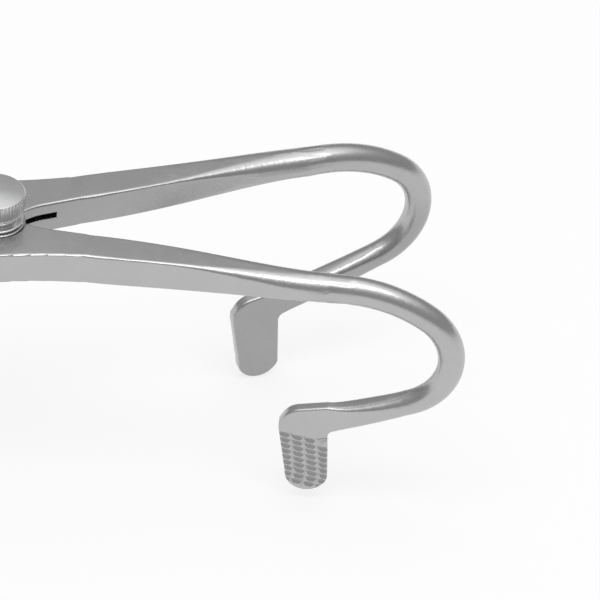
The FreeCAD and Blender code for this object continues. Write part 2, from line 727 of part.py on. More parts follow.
pieces = [
    make_arm("fork_arm", 1, "sizes.fork_leg", "sizes.cheek_radius", make_fork),
    make_arm("tongue_arm", -1, "sizes.tongue_leg", TONGUE_RADIUS, make_tongue),
    make_ring("screw_washer", HALF_JOINT, "sizes.washer_diameter / 2",
              f"{BORE_RADIUS} + sizes.bore_clearance", "sizes.washer_thickness",
              "sizes.washer_round"),
    make_screw("thumb_screw"),
    make_ring("stop_collar", f"-{HALF_JOINT}", "sizes.collar_diameter / 2",
              "sizes.screw_diameter / 2 + sizes.collar_fit", "sizes.collar_thickness",
              "sizes.collar_edge"),
]
doc.recompute()

for item in doc.Objects:
    if "Invalid" in item.State or "Error" in item.State:
        raise ValueError(f"{item.Label} is {item.State}")
for piece in pieces:
    if piece.Shape.isNull() or not piece.Shape.isValid() or len(piece.Shape.Solids) != 1:
        raise ValueError(f"{piece.Label} is not one valid solid")

os.makedirs("parts", exist_ok=True)
for piece in pieces:
    piece.Shape.exportStep(f"parts/{piece.Label}.step")
    box = piece.Shape.BoundBox
    print(f"{piece.Label}: {piece.Shape.Volume:.1f} mm3, x {box.XMin:.1f} to {box.XMax:.1f}")
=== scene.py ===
# %% [markdown]
# # A mouth gag in satin steel
# A mouth gag is a hand instrument that holds a patient's jaws apart. Two forged arms turn on
# a thumb screw, bend round in a U like a fish hook, and end in two plates with cut teeth.
# The shapes come from a CAD model. This script gives them their finish, their light and the
# camera, because a piece of bare metal shows almost nothing but what it mirrors.

# %% The tools and the CAD pieces
import json
import math

import bmesh
import bpy
import numpy as np
from mathutils import Matrix, Vector


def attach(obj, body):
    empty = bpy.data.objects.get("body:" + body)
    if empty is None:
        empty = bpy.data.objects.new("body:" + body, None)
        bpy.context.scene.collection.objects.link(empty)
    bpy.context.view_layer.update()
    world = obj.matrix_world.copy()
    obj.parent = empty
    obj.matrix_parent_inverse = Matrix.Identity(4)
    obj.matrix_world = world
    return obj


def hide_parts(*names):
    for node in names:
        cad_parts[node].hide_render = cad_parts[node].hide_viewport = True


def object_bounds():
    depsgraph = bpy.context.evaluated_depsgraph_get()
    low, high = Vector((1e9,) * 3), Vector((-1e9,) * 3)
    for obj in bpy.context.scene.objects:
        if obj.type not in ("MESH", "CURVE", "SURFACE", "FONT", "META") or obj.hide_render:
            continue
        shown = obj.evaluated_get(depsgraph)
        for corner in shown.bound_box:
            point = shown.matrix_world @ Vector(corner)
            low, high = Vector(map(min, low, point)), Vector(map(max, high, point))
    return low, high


MM = 0.001

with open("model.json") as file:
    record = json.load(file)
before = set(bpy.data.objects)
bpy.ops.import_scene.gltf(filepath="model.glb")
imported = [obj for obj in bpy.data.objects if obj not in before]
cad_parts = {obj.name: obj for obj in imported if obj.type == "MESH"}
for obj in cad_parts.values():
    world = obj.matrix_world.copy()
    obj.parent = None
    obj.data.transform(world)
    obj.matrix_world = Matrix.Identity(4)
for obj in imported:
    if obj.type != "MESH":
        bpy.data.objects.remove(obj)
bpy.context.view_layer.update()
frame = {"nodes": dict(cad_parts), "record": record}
bodies = frame["record"]["behaviour"]["bodies"]
print("bodies:", bodies)

# %% [markdown]
# ## Socket arithmetic
# Patterns on metal are sums and products of noise, and node by node they are slow to write.
# A small class that wraps a socket lets Python's own signs build the Math nodes, so that the
# formula can be read in one line. Any other node comes from the method `node`.

# %% A socket that can be added and multiplied
class Wire:
    """A shader socket. A sum, difference or product of wires and numbers adds a Math node. A
    wire without a socket only serves to start nodes in its tree."""

    def __init__(self, tree, socket=None):
        self.tree = tree
        self.socket = socket

    def node(self, kind, settings=None, inputs=None, output=0):
        """Adds a node, sets its properties, fills or links its sockets, and gives its output."""
        made = self.tree.nodes.new(kind)
        for name, value in (settings or {}).items():
            setattr(made, name, value)
        for name, value in (inputs or {}).items():
            if isinstance(value, Wire):
                self.tree.links.new(value.socket, made.inputs[name])
            else:
                made.inputs[name].default_value = value
        return Wire(self.tree, made.outputs[output])

    def maths(self, operation, first, second=0.0):
        """One Math node on two wires or numbers."""
        return self.node("ShaderNodeMath", {"operation": operation}, {0: first, 1: second})

    # Each sign adds the node of its name. The forms with an r take a number on the left.
    def __add__(self, other):
        return self.maths("ADD", self, other)

    def __radd__(self, other):
        return self.maths("ADD", other, self)

    def __sub__(self, other):
        return self.maths("SUBTRACT", self, other)

    def __rsub__(self, other):
        return self.maths("SUBTRACT", other, self)

    def __mul__(self, other):
        return self.maths("MULTIPLY", self, other)

    def __rmul__(self, other):
        return self.maths("MULTIPLY", other, self)

    def sine(self):
        """The sine of the wire, in radians."""
        return self.maths("SINE", self)

    def clamp(self, low, high):
        """The wire, but never under low or over high."""
        return self.maths("MINIMUM", self.maths("MAXIMUM", self, low), high)


print("signs that add a Math node: + - *")

# %% A new metal, and the noise that every metal here uses
NOISE_ROUGHNESS = 0.55


def new_metal(name):
    """A material whose Principled shader is all metal, with a wire on Object coordinates."""
    material = bpy.data.materials.new(name)
    material.use_nodes = True
    shader = material.node_tree.nodes["Principled BSDF"]
    shader.inputs["Metallic"].default_value = 1.0
    place = Wire(material.node_tree).node("ShaderNodeTexCoord", output="Object")
    return material, shader, place


def noise(place, scale, detail=3.0):
    """Soft noise around zero: the value of a noise texture, less its mean of a half."""
    texture = place.node("ShaderNodeTexNoise", {},
                         {"Vector": place, "Scale": scale, "Detail": detail,
                          "Roughness": NOISE_ROUGHNESS}, output="Fac")
    return texture - 0.5


def feed(shader, name, wire):
    """Links a wire to one of the shader's own inputs."""
    wire.tree.links.new(wire.socket, shader.inputs[name])


print("noise roughness:", NOISE_ROUGHNESS)

# %% A tint, and a bump on rounded edges
EDGE_SAMPLES = 8


def tinted(base, shade):
    """A base colour times a grey wire, through a Mix node so that the colour stays a colour."""
    grey = shade.node("ShaderNodeCombineColor", {}, {"Red": shade, "Green": shade, "Blue": shade})
    return shade.node("ShaderNodeMix", {"data_type": "RGBA", "blend_type": "MULTIPLY"},
                      {"Factor": 1.0, "A": (*base, 1.0), "B": grey}, output=2)


def bumped(shader, height, distance, edge_radius):
    """Feeds the shader's normal with a height, counted in parts of the distance in metres. A
    Bevel node below it rounds every edge by the edge radius, as polishing does."""
    rounded = height.node("ShaderNodeBevel", {"samples": EDGE_SAMPLES}, {"Radius": edge_radius})
    normal = height.node("ShaderNodeBump", {}, {"Strength": 1.0, "Distance": distance,
                                                "Height": height, "Normal": rounded})
    feed(shader, "Normal", normal)


print("rays that round an edge:", EDGE_SAMPLES)

# %% [markdown]
# ## Satin steel for the arms
# Forged instruments are blasted with fine glass beads and lightly brushed, so that no mirror
# glare reaches the surgeon's eyes. The shine is broad and soft, and close up the surface has
# a fine grain. A picture of real steel could be wrapped round the arms, but its scale would be
# fixed and its light baked in. Noise has neither fault: clouds of a few millimetres go into
# the colour, smaller smears into the roughness, and a fifth of a millimetre's grain into the
# colour and the bump. The sides that face the other arm get painted shade: their colour is
# darker, as if the two arms shaded each other there. Each face carries how far it looks that
# way as a number named inward, which is worked out with the skins below.

# %% The arms' steel
STEEL = (0.490, 0.491, 0.493)
# Painted shade: the share by which the colour of a face that looks at the other arm is darkened.
INWARD_PAINTED_SHADE = 0.22
SATIN_ROUGHNESS = 0.28
CLOUDS_PER_METRE, CLOUD_SHARE = 160.0, 0.10
SMEARS_PER_METRE, SMEAR_SHARE = 700.0, 0.10
GRAIN_PER_METRE, GRAIN_SHARE, GRAIN_DETAIL = 5200.0, 0.06, 2.0
GRAIN_HEIGHT = 0.004 * MM
ARM_EDGE_ROUND = 0.3 * MM


def satin_steel():
    """Colour: the steel's own, times one plus clouds plus grain, times one less the painted shade
    on faces that look inward. Roughness: a level plus smears. Bump: the grain."""
    material, shader, place = new_metal("satin_steel")
    clouds = noise(place, CLOUDS_PER_METRE)
    grain = noise(place, GRAIN_PER_METRE, GRAIN_DETAIL)
    inward = place.node("ShaderNodeAttribute", {"attribute_name": "inward"}, output="Fac")
    # Painted shade: the colour is darkened where a face looks towards the other arm.
    painted_shade = 1.0 - inward * INWARD_PAINTED_SHADE
    mottled = 1.0 + clouds * CLOUD_SHARE + grain * GRAIN_SHARE
    feed(shader, "Base Color", tinted(STEEL, mottled * painted_shade))
    feed(shader, "Roughness", SATIN_ROUGHNESS + noise(place, SMEARS_PER_METRE) * SMEAR_SHARE)
    bumped(shader, grain, GRAIN_HEIGHT, ARM_EDGE_ROUND)
    return material


arm_steel = satin_steel()
print("arm steel:", len(arm_steel.node_tree.nodes), "nodes")

# %% [markdown]
# ## Turned steel for the screw
# The thumb screw comes off a lathe and is polished. The tool leaves fine rings round the
# axis, which pull every highlight out into a fan across the head. The shader's own anisotropy
# could do that, but the export doesn't bake it. A bump of real rings is baked like any other:
# they are a sine of the distance from the axis, and noise breaks them up so that they don't
# look printed.

# %% The screw's steel
TURNED = (0.70, 0.702, 0.705)
TURNED_ROUGHNESS = 0.20
WOBBLES_PER_METRE, WOBBLE_SHARE = 900.0, 0.08
RING_PITCH = 0.16 * MM
RING_WANDER = 3.0
RING_SHARE, RING_RELIEF = 0.02, 0.5
RING_HEIGHT = 0.004 * MM
SCREW_EDGE_ROUND = 0.08 * MM


def turned_steel():
    """Rings: the sine of a whole turn per pitch of distance from the axis, plus a wobble.
    Colour: the steel's own, times one plus wobble plus rings. Roughness: a level plus wobble.
    Bump: rings plus wobble."""
    material, shader, place = new_metal("turned_steel")
    flat = place.node("ShaderNodeVectorMath", {"operation": "MULTIPLY"},
                      {0: place, 1: (1.0, 1.0, 0.0)})
    radius = place.node("ShaderNodeVectorMath", {"operation": "LENGTH"}, {0: flat},
                        output="Value")
    wobble = noise(place, WOBBLES_PER_METRE)
    rings = (radius * (2 * math.pi / RING_PITCH) + wobble * RING_WANDER).sine()
    streaked = 1.0 + wobble * WOBBLE_SHARE + rings * RING_SHARE
    feed(shader, "Base Color", tinted(TURNED, streaked))
    feed(shader, "Roughness", TURNED_ROUGHNESS + wobble * WOBBLE_SHARE)
    bumped(shader, rings * RING_RELIEF + wobble, RING_HEIGHT, SCREW_EDGE_ROUND)
    return material


screw_steel = turned_steel()
print("screw steel:", len(screw_steel.node_tree.nodes), "nodes")

# %% [markdown]
# ## A last fit to the photograph
# Set against the photograph, the real forging is a few tenths of a millimetre fuller than the
# CAD model, its heels are lower, its teeth run aslant and its screw head is a little taller.
# New surfaces could be lofted over the old ones, but they would lose the CAD model's crisp
# slot and teeth. So every point of a node's mesh is moved a little instead, by rules that are
# smooth functions of where it lies. An arm's points are first turned into the arm's own frame,
# in millimetres, where x runs along the arm, y outwards and z up.

# %% The arm's own frame, and two ways to change a length smoothly
SIDES = {"fork_arm": 1, "tongue_arm": -1}
OPENING = math.radians(11.84)
CORNER_SHIFTS = (-4.0, -2.0, 0.0, 2.0, 4.0)


def swing(x, y, angle):
    """The same points seen from a frame that is turned by an angle about the pivot."""
    return (x * math.cos(angle) + y * math.sin(angle),
            y * math.cos(angle) - x * math.sin(angle))


def step(value, start, end):
    """Nought before start, one after end, and between them an S curve, 3 t t - 2 t t t."""
    t = np.clip((value - start) / (end - start), 0.0, 1.0)
    return t * t * (3.0 - 2.0 * t)


def along(x, stations, amounts):
    """Amounts given at stations along x and joined by straight lines. The mean over a few
    shifts along x rounds the corners off."""
    total = sum(np.interp(x + shift, stations, amounts) for shift in CORNER_SHIFTS)
    return total / len(CORNER_SHIFTS)


print("each arm stands", round(math.degrees(OPENING), 2), "degrees from the middle plane")

# %% [markdown]
# ## Seams that vanish
# In the CAD model each forged length starts a hair's breadth inside the piece that it grows
# from, because solids that share a face exactly are hard to join. On polished steel that hair
# shows as a line all round. The points on it lie on a rounded rectangle, so they can be told
# by their distance from one, and are pushed out to meet it.

# %% Closing a seam
SEAM, ON_SEAM = 0.08, 0.02
NOT_QUITE_NOUGHT = 1e-9


def close_seam(run, across, up, station, half_across, half_up, corner):
    """Pushes the ring of points that stands one seam's step inside a rounded rectangle out onto
    it. The distance from the rectangle is the length of what passes its inner box, less the
    corner's radius."""
    beyond = np.stack([np.abs(across) - half_across, np.abs(up) - half_up]) + corner
    outside = np.maximum(beyond, 0.0)
    reach = np.maximum(np.hypot(*outside), NOT_QUITE_NOUGHT)
    distance = reach + np.minimum(beyond.max(axis=0), 0.0) - corner
    ring = (np.abs(run - station) < ON_SEAM) & (distance < -SEAM / 2) & (distance > -2 * SEAM)
    push = np.where(ring, SEAM, 0.0) * outside / reach
    return across + np.sign(across) * push[0], up + np.sign(up) * push[1]


print("seam in mm:", SEAM)

# %% [markdown]
# ## The forged bar
# From the joint forward each arm is a square bar that slims towards the rod. A plain scaling
# would open the slot and spoil the joint's fit. The bar's two sides and its height grow by
# amounts of their own instead, given where the CAD model has its sections, and the height
# only changes beyond the slot that the tongue turns in.

# %% Its two sides and its height
BAR = (-30.0, -12.0, 8.0, 19.0, 31.0, 45.0, 58.0, 70.0)
BAR_INNER = (19.5, 7.9, 1.7, 2.1, 2.35, 3.1, 3.6, 3.52)
BAR_OUTER = (26.5, 17.3, 10.6, 8.75, 8.25, 8.1, 9.0, 9.42)
INNER_GROWTH = (0.0, 0.0, 0.0, -0.30, -0.20, -0.15, -0.15, -0.125)
OUTER_GROWTH = (0.0, 0.3, 0.3, 0.60, 0.65, 0.75, 0.60, 0.125)
LEVELS = (-45.0, -26.0, 19.0, 31.0, 45.0, 70.0)
HEIGHT_GROWTH = (0.0, 0.20, 0.20, 0.15, 0.10, 0.125)
SLOT_REACH, HALF_JOINT, EDGE_ROUND = 1.2, 3.4, 0.45
SHOULDERS = ((19.0, 2.1, 8.75), (-12.0, 7.9, 17.3))


def ease_bar(x, y, z):
    """Moves the sides by amounts that change evenly across the bar from its inner to its outer
    edge, and the top and bottom apart, by a step that starts beyond the slot."""
    for station, inner, outer in SHOULDERS:
        middle, half = (inner + outer) / 2, (outer - inner) / 2
        off, z = close_seam(x, y - middle, z, station, half, HALF_JOINT, EDGE_ROUND)
        y = middle + off
    inner_side, outer_side = along(x, BAR, BAR_INNER), along(x, BAR, BAR_OUTER)
    across = np.clip((y - inner_side) / (outer_side - inner_side), 0.0, 1.0)
    wider = (1 - across) * along(x, BAR, INNER_GROWTH) + across * along(x, BAR, OUTER_GROWTH)
    edge = step(np.abs(z), SLOT_REACH, HALF_JOINT - EDGE_ROUND)
    return y + wider, z + np.sign(z) * along(x, LEVELS, HEIGHT_GROWTH) * edge


widest_growth = max(outer - inner for inner, outer in zip(INNER_GROWTH, OUTER_GROWTH))
print("the bar grows by up to", round(widest_growth, 2), "mm in width")

# %% [markdown]
# ## The bent rod
# Beyond the bar the steel is round and is bent over a former, first wide and then tight, until
# it runs back as the leg. The rod could be swept again along a new line, but its meeting with
# the bar and the plate would have to be rebuilt too. It is simpler to note where each point
# lies along and beside the old line, and to put it at the same place on the new one.

# %% Two arcs and a straight leg
BEND_START, FULLER_START = 73.5, 73.35
WIDE_RADIUS = 29.9
TIGHT_RADIUS, FULLER_TIGHT_RADIUS = 12.4, 12.75
WIDE_ANGLE, WHOLE_ANGLE = math.radians(34.6), math.radians(157.9)
ROD_GROWTH, ROD_END_GROWTH = 1.042, 1.029
SHIFT_START, LEG_BELOW = 58.0, -8.0


def heading(angle):
    """From an arc's centre, the direction to the place that the rod reaches after an angle."""
    return np.stack([np.sin(angle), np.cos(angle)], axis=-1)


def bend_centres(start, tight):
    """Centres of the wide and the tight arc, and the point where the leg starts."""
    wide = np.array([start, -WIDE_RADIUS])
    small = wide + (WIDE_RADIUS - tight) * heading(WIDE_ANGLE)
    return wide, small, small + tight * heading(WHOLE_ANGLE)


def ease_bend(x, z):
    """Takes each point from its place along and beside the rod's line to the same place along
    and beside a slightly larger line. Angles stay, and only radii and offsets grow."""
    wide, small, end = bend_centres(BEND_START, TIGHT_RADIUS)
    new_wide, new_small, new_end = bend_centres(FULLER_START, FULLER_TIGHT_RADIUS)
    point = np.stack([x, z], axis=1)
    new = point.copy()
    angle = np.arctan2(x - small[0], z - small[1]) % (2 * math.pi)
    wide_angle = np.arctan2(x - wide[0], z - wide[1])
    leg = (angle > WHOLE_ANGLE) & (z < LEG_BELOW)
    tight = ~leg & (angle > WIDE_ANGLE) & (wide_angle > WIDE_ANGLE)
    arc = ~leg & ~tight & (x > BEND_START)
    for chosen, centre, new_centre, radius, new_radius, turn in (
            (arc, wide, new_wide, WIDE_RADIUS, WIDE_RADIUS, wide_angle),
            (tight, small, new_small, TIGHT_RADIUS, FULLER_TIGHT_RADIUS, angle)):
        offset = np.hypot(*(point - centre).T) - radius
        share = np.clip(turn / WHOLE_ANGLE, 0.0, 1.0)
        reach = new_radius + offset * (ROD_GROWTH + share * (ROD_END_GROWTH - ROD_GROWTH))
        new[chosen] = (new_centre + reach[:, None] * heading(turn))[chosen]
    new[leg] = (point + new_end - end)[leg]
    straight = (x <= BEND_START) & ~leg
    new[straight, 0] += (FULLER_START - BEND_START) * step(x[straight], SHIFT_START, BEND_START)
    return new[:, 0], new[:, 1], leg, new_end


leg_move = (bend_centres(FULLER_START, FULLER_TIGHT_RADIUS)[2]
            - bend_centres(BEND_START, TIGHT_RADIUS)[2])
print("the leg's start moves by", leg_move.round(2), "mm")

# %% [markdown]
# ## Teeth that run aslant
# The plates' teeth are cut last, and their rows don't stand square to the plate. Turning the
# whole plate would turn its outline too. Along the straight sides the points slide up or down
# instead, and in the round tip they turn about the tip's own centre, so that the rows tilt
# inside an outline that stays.

# %% The tilt of the rows
ROW_TILT = math.radians(-17.0)
TIP_CENTRE = (-1.1, -12.65)
TIP_START, TIP_FULL = -1.5, 2.5
FRONT_START, FRONT_FULL = -1.0, 3.5
FADE_BEHIND, FADE_IN_FRONT = (-3.0, 3.5), (-4.6, -3.4)


def tilt_rows(u, v):
    """In the tip each point turns by the tilt about the tip's centre. Above it each slides by
    its distance from the middle times the tilt's tangent. The tilt fades out between two
    levels, which lie below the instep in front and higher up behind."""
    side, level = u - TIP_CENTRE[0], v - TIP_CENTRE[1]
    front = step(u, FRONT_START, FRONT_FULL)
    fade_low, fade_high = ((1 - front) * behind + front * ahead
                           for behind, ahead in zip(FADE_BEHIND, FADE_IN_FRONT))
    tilt = ROW_TILT * (1.0 - step(v, fade_low, fade_high))
    tip = step(-level, TIP_START, TIP_FULL)
    turned_u = side * (np.cos(tilt) - 1) - level * np.sin(tilt)
    turned_v = side * np.sin(tilt) + level * (np.cos(tilt) - 1)
    return u + tip * turned_u, v + tip * turned_v + (1 - tip) * side * np.tan(tilt)


print("the rows tilt by", round(math.degrees(ROW_TILT), 1), "degrees")

# %% [markdown]
# ## The leg and the tooth plate
# The leg ends in a heel, and the plate hangs from it with a slight lean. The CAD model's heel
# is too high and its plate too narrow in front. A new outline would need new teeth as well, so
# the old one is moved: the heel goes down square to the leg, and the plate is widened in a
# frame of its own, where u runs forward and v up from the middle of the heel.

# %% The plate's width
PLATE_LEAN = math.radians(7.0)
PLATE_BACK, PLATE_WIDTH, PLATE_TOP = -5.95, 9.7, 3.5
BACK_SHIFT, FRONT_SHIFT, SHIFT_DEPTH = 0.10, 0.40, 4.0


def ease_plate(heel):
    """How far the plate's points move: by the rows' tilt, and forward by a shift that grows
    from the plate's back to its front and sets in below the heel."""
    forward = np.array([math.cos(PLATE_LEAN), math.sin(PLATE_LEAN)])
    upright = np.array([-math.sin(PLATE_LEAN), math.cos(PLATE_LEAN)])
    u, v = heel @ forward, heel @ upright
    tilted_u, tilted_v = tilt_rows(u, v)
    share = np.clip((u - PLATE_BACK) / PLATE_WIDTH, 0.0, 1.0)
    wider = step(-v, 0.0, SHIFT_DEPTH) * (BACK_SHIFT + share * (FRONT_SHIFT - BACK_SHIFT))
    move = (tilted_u - u + wider)[:, None] * forward + (tilted_v - v)[:, None] * upright
    return np.where(v[:, None] < PLATE_TOP, move, 0.0)


print("the plate grows by", round(FRONT_SHIFT - BACK_SHIFT, 2), "mm in width")

# %% The heel's height
LEG_LENGTHS = {"fork_arm": 27.5, "tongue_arm": 21.8}
ROD_OFFSET = 6.47
HEEL_REACH, HEEL_MIDDLE, HEEL_HALF, HEEL_TOP = 5.5, 1.0, 3.9, 4.9
HEEL_LOWERING = 1.5
HALF_PLATE, PLATE_EDGE_ROUND = 1.25, 0.5
SEAM_FADE, CORE_HEIGHT, RIM_HEIGHT = 8.0, 1.5, 3.0


def ease_leg(x, y, z, leg, leg_start, length):
    """Closes the seam between the leg and the plate, with a fade back along the leg, lowers what
    lies above the leg's own line, more and more towards the heel, and widens the plate."""
    back, up = heading(WHOLE_ANGLE + math.pi / 2), -heading(WHOLE_ANGLE)
    place = np.stack([x, z], axis=1) - leg_start
    run, seam_at = place @ back, length - HEEL_REACH
    off, high = close_seam(run, y - ROD_OFFSET, place @ up - HEEL_MIDDLE, seam_at,
                           HALF_PLATE, HEEL_HALF, PLATE_EDGE_ROUND)
    faded = np.where(run < seam_at - ON_SEAM, step(run, seam_at - SEAM_FADE, seam_at), 0.0)
    high = high + np.sign(high) * SEAM * faded * step(np.abs(high), CORE_HEIGHT, RIM_HEIGHT)
    above = high + HEEL_MIDDLE
    lowered = HEEL_LOWERING * step(run, 0.0, seam_at) * step(above, 0.0, HEEL_TOP)
    place = run[:, None] * back + above[:, None] * up
    place = leg_start + place + ease_plate(place - length * back) - lowered[:, None] * up
    return (np.where(leg, place[:, 0], x), np.where(leg, off + ROD_OFFSET, y),
            np.where(leg, place[:, 1], z))


print("the heels go down by", HEEL_LOWERING, "mm")

# %% [markdown]
# ## The whole arm, and the screw
# The arm's rules are joined up here. The screw, its washer and its collar are turned parts
# about one axis. Scaling them would press the screw's shank into its bore, so their heights go
# from one list of levels to another, and only what is wider than the shank grows in radius.

# %% Every rule in its place
SCREW_LEVELS = (-3.4, 3.4, 4.3, 6.9, 10.3, 10.6)
TALLER_LEVELS = (-3.6, 3.6, 4.5, 6.75, 10.55, 11.0)
HEAD_GROWTH, WIDER_FROM, WIDER_FULL = 1.026, 3.0, 4.5


def ease_arm(node, x, y, z):
    """Turns the points into the arm's frame, moves bar, bend and leg, and turns them back."""
    side = SIDES[node]
    own_x, own_y = swing(x, y, side * OPENING)
    own_y = side * own_y
    bar_y, bar_z = ease_bar(own_x, own_y, z)
    new_x, new_z, leg, leg_start = ease_bend(own_x, z)
    on_bar = (own_x < BAR[-1]) & ~leg
    new_y, new_z = np.where(on_bar, bar_y, own_y), np.where(on_bar, bar_z, new_z)
    new_x, new_y, new_z = ease_leg(new_x, new_y, new_z, leg, leg_start, LEG_LENGTHS[node])
    new_x, new_y = swing(new_x, side * new_y, -side * OPENING)
    return new_x, new_y, new_z


def ease_turned(x, y, z):
    """Heights by the two lists of levels, and radii times a growth that sets in by a step
    beyond the shank."""
    wider = 1 + (HEAD_GROWTH - 1) * step(np.hypot(x, y), WIDER_FROM, WIDER_FULL)
    return x * wider, y * wider, np.interp(z, SCREW_LEVELS, TALLER_LEVELS)


def ease_points(node, points):
    """The points of a node's mesh, in millimetres, moved by the rules for that node."""
    eased = ease_arm(node, *points.T) if node in SIDES else ease_turned(*points.T)
    return np.stack(eased, axis=1)


print("the screw's top goes to", TALLER_LEVELS[-1], "mm")

# %% [markdown]
# ## Smooth skins
# A CAD mesh is loose triangles with every facet flat, which polished metal shows at once.
# Subdividing it would round the teeth away. Each node gets a copy instead, whose doubled
# points are merged, whose faces share their normals, and whose real edges stay sharp because
# they turn by more than a set angle. Teeth and knurls are finer than the arms' fillets, so
# their edges count as real from a smaller angle on.

# %% How far each face looks inward
# Painted shade on faces that look towards the other arm, and where along the arm most of it is
# lifted.
SHADE_FROM, SHADE_FULL = 0.5, 0.95
BAR_SHADE_LIFT = 0.7
LIFT_FROM, LIFT_FULL = 15.0, 55.0
LIFT_LOW, LIFT_HIGH = -20.0, -10.0


def mark_inward(node, mesh):
    """A number on every face for the painted shade: a step of how far its normal points towards
    the other arm, where the arms would shade each other. Along the bars most of it fades out
    towards the rods, the legs and plates keep it all, and the screw has none."""
    normals = np.empty(3 * len(mesh.polygons))
    mesh.polygons.foreach_get("normal", normals)
    normals = normals.reshape(-1, 3)
    side = SIDES.get(node, 0)
    outwards = side * swing(normals[:, 0], normals[:, 1], side * OPENING)[1]
    middles = np.empty(3 * len(mesh.polygons))
    mesh.polygons.foreach_get("center", middles)
    x, _, z = middles.reshape(-1, 3).T / MM
    shade_lift = BAR_SHADE_LIFT * step(x, LIFT_FROM, LIFT_FULL) * step(z, LIFT_LOW, LIFT_HIGH)
    inward = step(-outwards, SHADE_FROM, SHADE_FULL) * (1.0 - shade_lift)
    mesh.attributes.new("inward", "FLOAT", "FACE").data.foreach_set("value", inward)


print("faces that look straight inward are", round(100 * INWARD_PAINTED_SHADE), "percent darker")

# %% Merged points, shared normals and sharp edges
EDGE_ANGLE, TOOTH_ANGLE = math.radians(50), math.radians(34)
TEETH_BELOW = -30.0 * MM
MERGE_DISTANCE = 1e-7


def smooth_skin(mesh, fine_everywhere):
    """Merges doubled points, and smooths every edge that turns by less than the angle for its
    place: the tooth's angle below the teeth's level or everywhere, and else the arm's."""
    work = bmesh.new()
    work.from_mesh(mesh)
    for face in work.faces:
        face.smooth = True
    bmesh.ops.remove_doubles(work, verts=work.verts, dist=MERGE_DISTANCE)
    for edge in work.edges:
        fine = fine_everywhere or edge.verts[0].co.z < TEETH_BELOW
        edge.smooth = edge.calc_face_angle(math.pi) < (TOOTH_ANGLE if fine else EDGE_ANGLE)
    work.to_mesh(mesh)
    work.free()


print("edges stay sharp from", round(math.degrees(EDGE_ANGLE)), "degrees, and fine ones from",
      round(math.degrees(TOOTH_ANGLE)))

# %% A skin in place of every node
FINISHES = {"fork_arm": ("arm_steel", arm_steel), "tongue_arm": ("arm_steel", arm_steel),
            "screw_washer": ("screw_steel", screw_steel),
            "thumb_screw": ("screw_steel", screw_steel),
            "stop_collar": ("screw_steel", screw_steel)}


def body_of(node):
    """The body that carries a node, from the record."""
    return next(body for body, nodes in bodies.items() if node in nodes)


def skin(node):
    """The node's mesh, eased, smoothed and finished, in place of the node."""
    slot, material = FINISHES[node]
    mesh = frame["nodes"][node].data.copy()
    mesh.name = f"{node}_skin"
    points = np.empty(3 * len(mesh.vertices))
    mesh.vertices.foreach_get("co", points)
    points = points.reshape(-1, 3)
    eased = ease_points(node, points / MM) * MM
    furthest = float(np.abs(eased - points).max()) / MM
    print(f"{node}: points moved by up to", round(furthest, 2), "mm")
    mesh.vertices.foreach_set("co", eased.ravel())
    mesh.update()
    mark_inward(node, mesh)
    smooth_skin(mesh, fine_everywhere=slot == "screw_steel")
    mesh.materials.clear()
    mesh.materials.append(material)
    piece = bpy.data.objects.new(f"{node}_skin", mesh)
    bpy.context.scene.collection.objects.link(piece)
    even = piece.modifiers.new("even_normals", "WEIGHTED_NORMAL")
    even.mode = "FACE_AREA"
    even.keep_sharp = True
    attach(piece, body_of(node))
    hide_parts(node)
    return piece


for node in FINISHES:
    piece = skin(node)
    print(f"{piece.name}: {len(piece.data.vertices)} points, {len(piece.data.polygons)} faces")

# %% [markdown]
# ## The white floor
# The instrument is shown on white, and the floor lies at its lowest point, which is a plate's
# tip. More light would turn a grey floor white, but it would burn out the steel as well. So
# part of the floor's own material is a plain white glow, which only the camera and the steel's
# reflections see, and the rest is a matt white that still takes the instrument's shadow. From
# below the floor is clear, so that the underside can be looked at too.

# %% The floor
FLOOR_SIZE = 30.0
FLOOR_WHITE, FLOOR_ROUGHNESS = 0.93, 0.9
FLOOR_GLOW = 0.75


def floor_material():
    """Matt white mixed with a white glow, by the glow's share wherever a camera, glossy or
    transmission ray looks. Where the back of a face is seen, it is clear instead."""
    material = bpy.data.materials.new("white_floor")
    material.use_nodes = True
    tree = material.node_tree
    shader = tree.nodes["Principled BSDF"]
    shader.inputs["Base Color"].default_value = (FLOOR_WHITE, FLOOR_WHITE, FLOOR_WHITE, 1.0)
    shader.inputs["Roughness"].default_value = FLOOR_ROUGHNESS
    shader.inputs["Specular IOR Level"].default_value = 0.0
    start = Wire(tree)
    back = start.node("ShaderNodeNewGeometry", output="Backfacing")
    clear = start.node("ShaderNodeBsdfTransparent")
    solid = Wire(tree, shader.outputs["BSDF"])
    glow = start.node("ShaderNodeEmission", {}, {"Strength": 1.0})
    seen = (start.node("ShaderNodeLightPath", output="Is Camera Ray")
            + start.node("ShaderNodeLightPath", output="Is Glossy Ray")
            + start.node("ShaderNodeLightPath", output="Is Transmission Ray")).clamp(0.0, 1.0)
    lit = start.node("ShaderNodeMixShader", {}, {0: seen * FLOOR_GLOW, 1: solid, 2: glow})
    mixed = start.node("ShaderNodeMixShader", {}, {0: back, 1: lit, 2: clear})
    tree.links.new(mixed.socket, tree.nodes["Material Output"].inputs["Surface"])
    return material


half = FLOOR_SIZE / 2
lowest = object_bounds()[0].z
floor_mesh = bpy.data.meshes.new("floor")
floor_mesh.from_pydata([(-half, -half, lowest), (half, -half, lowest),
                        (half, half, lowest), (-half, half, lowest)], [], [(0, 1, 2, 3)])
floor_mesh.materials.append(floor_material())
floor = bpy.data.objects.new("floor", floor_mesh)
bpy.context.scene.collection.objects.link(floor)
print("floor at", round(lowest / MM, 2), "mm")

# %% [markdown]
# ## The sky
# Flat steel shows the part of the sky that it mirrors, so the sky's greys are the steel's
# greys. A picture of a studio would bring its own lamps and colours. A formula of the height
# alone is enough here: dim and almost level up to a shoulder, which gives the bars' sides their
# mid grey, and then brighter towards the zenith, which lights the screw's head and the rods.

# %% Grey by height
HORIZON, SHOULDER, ZENITH = 0.38, 0.455, 1.65
SHOULDER_HEIGHT = 0.62


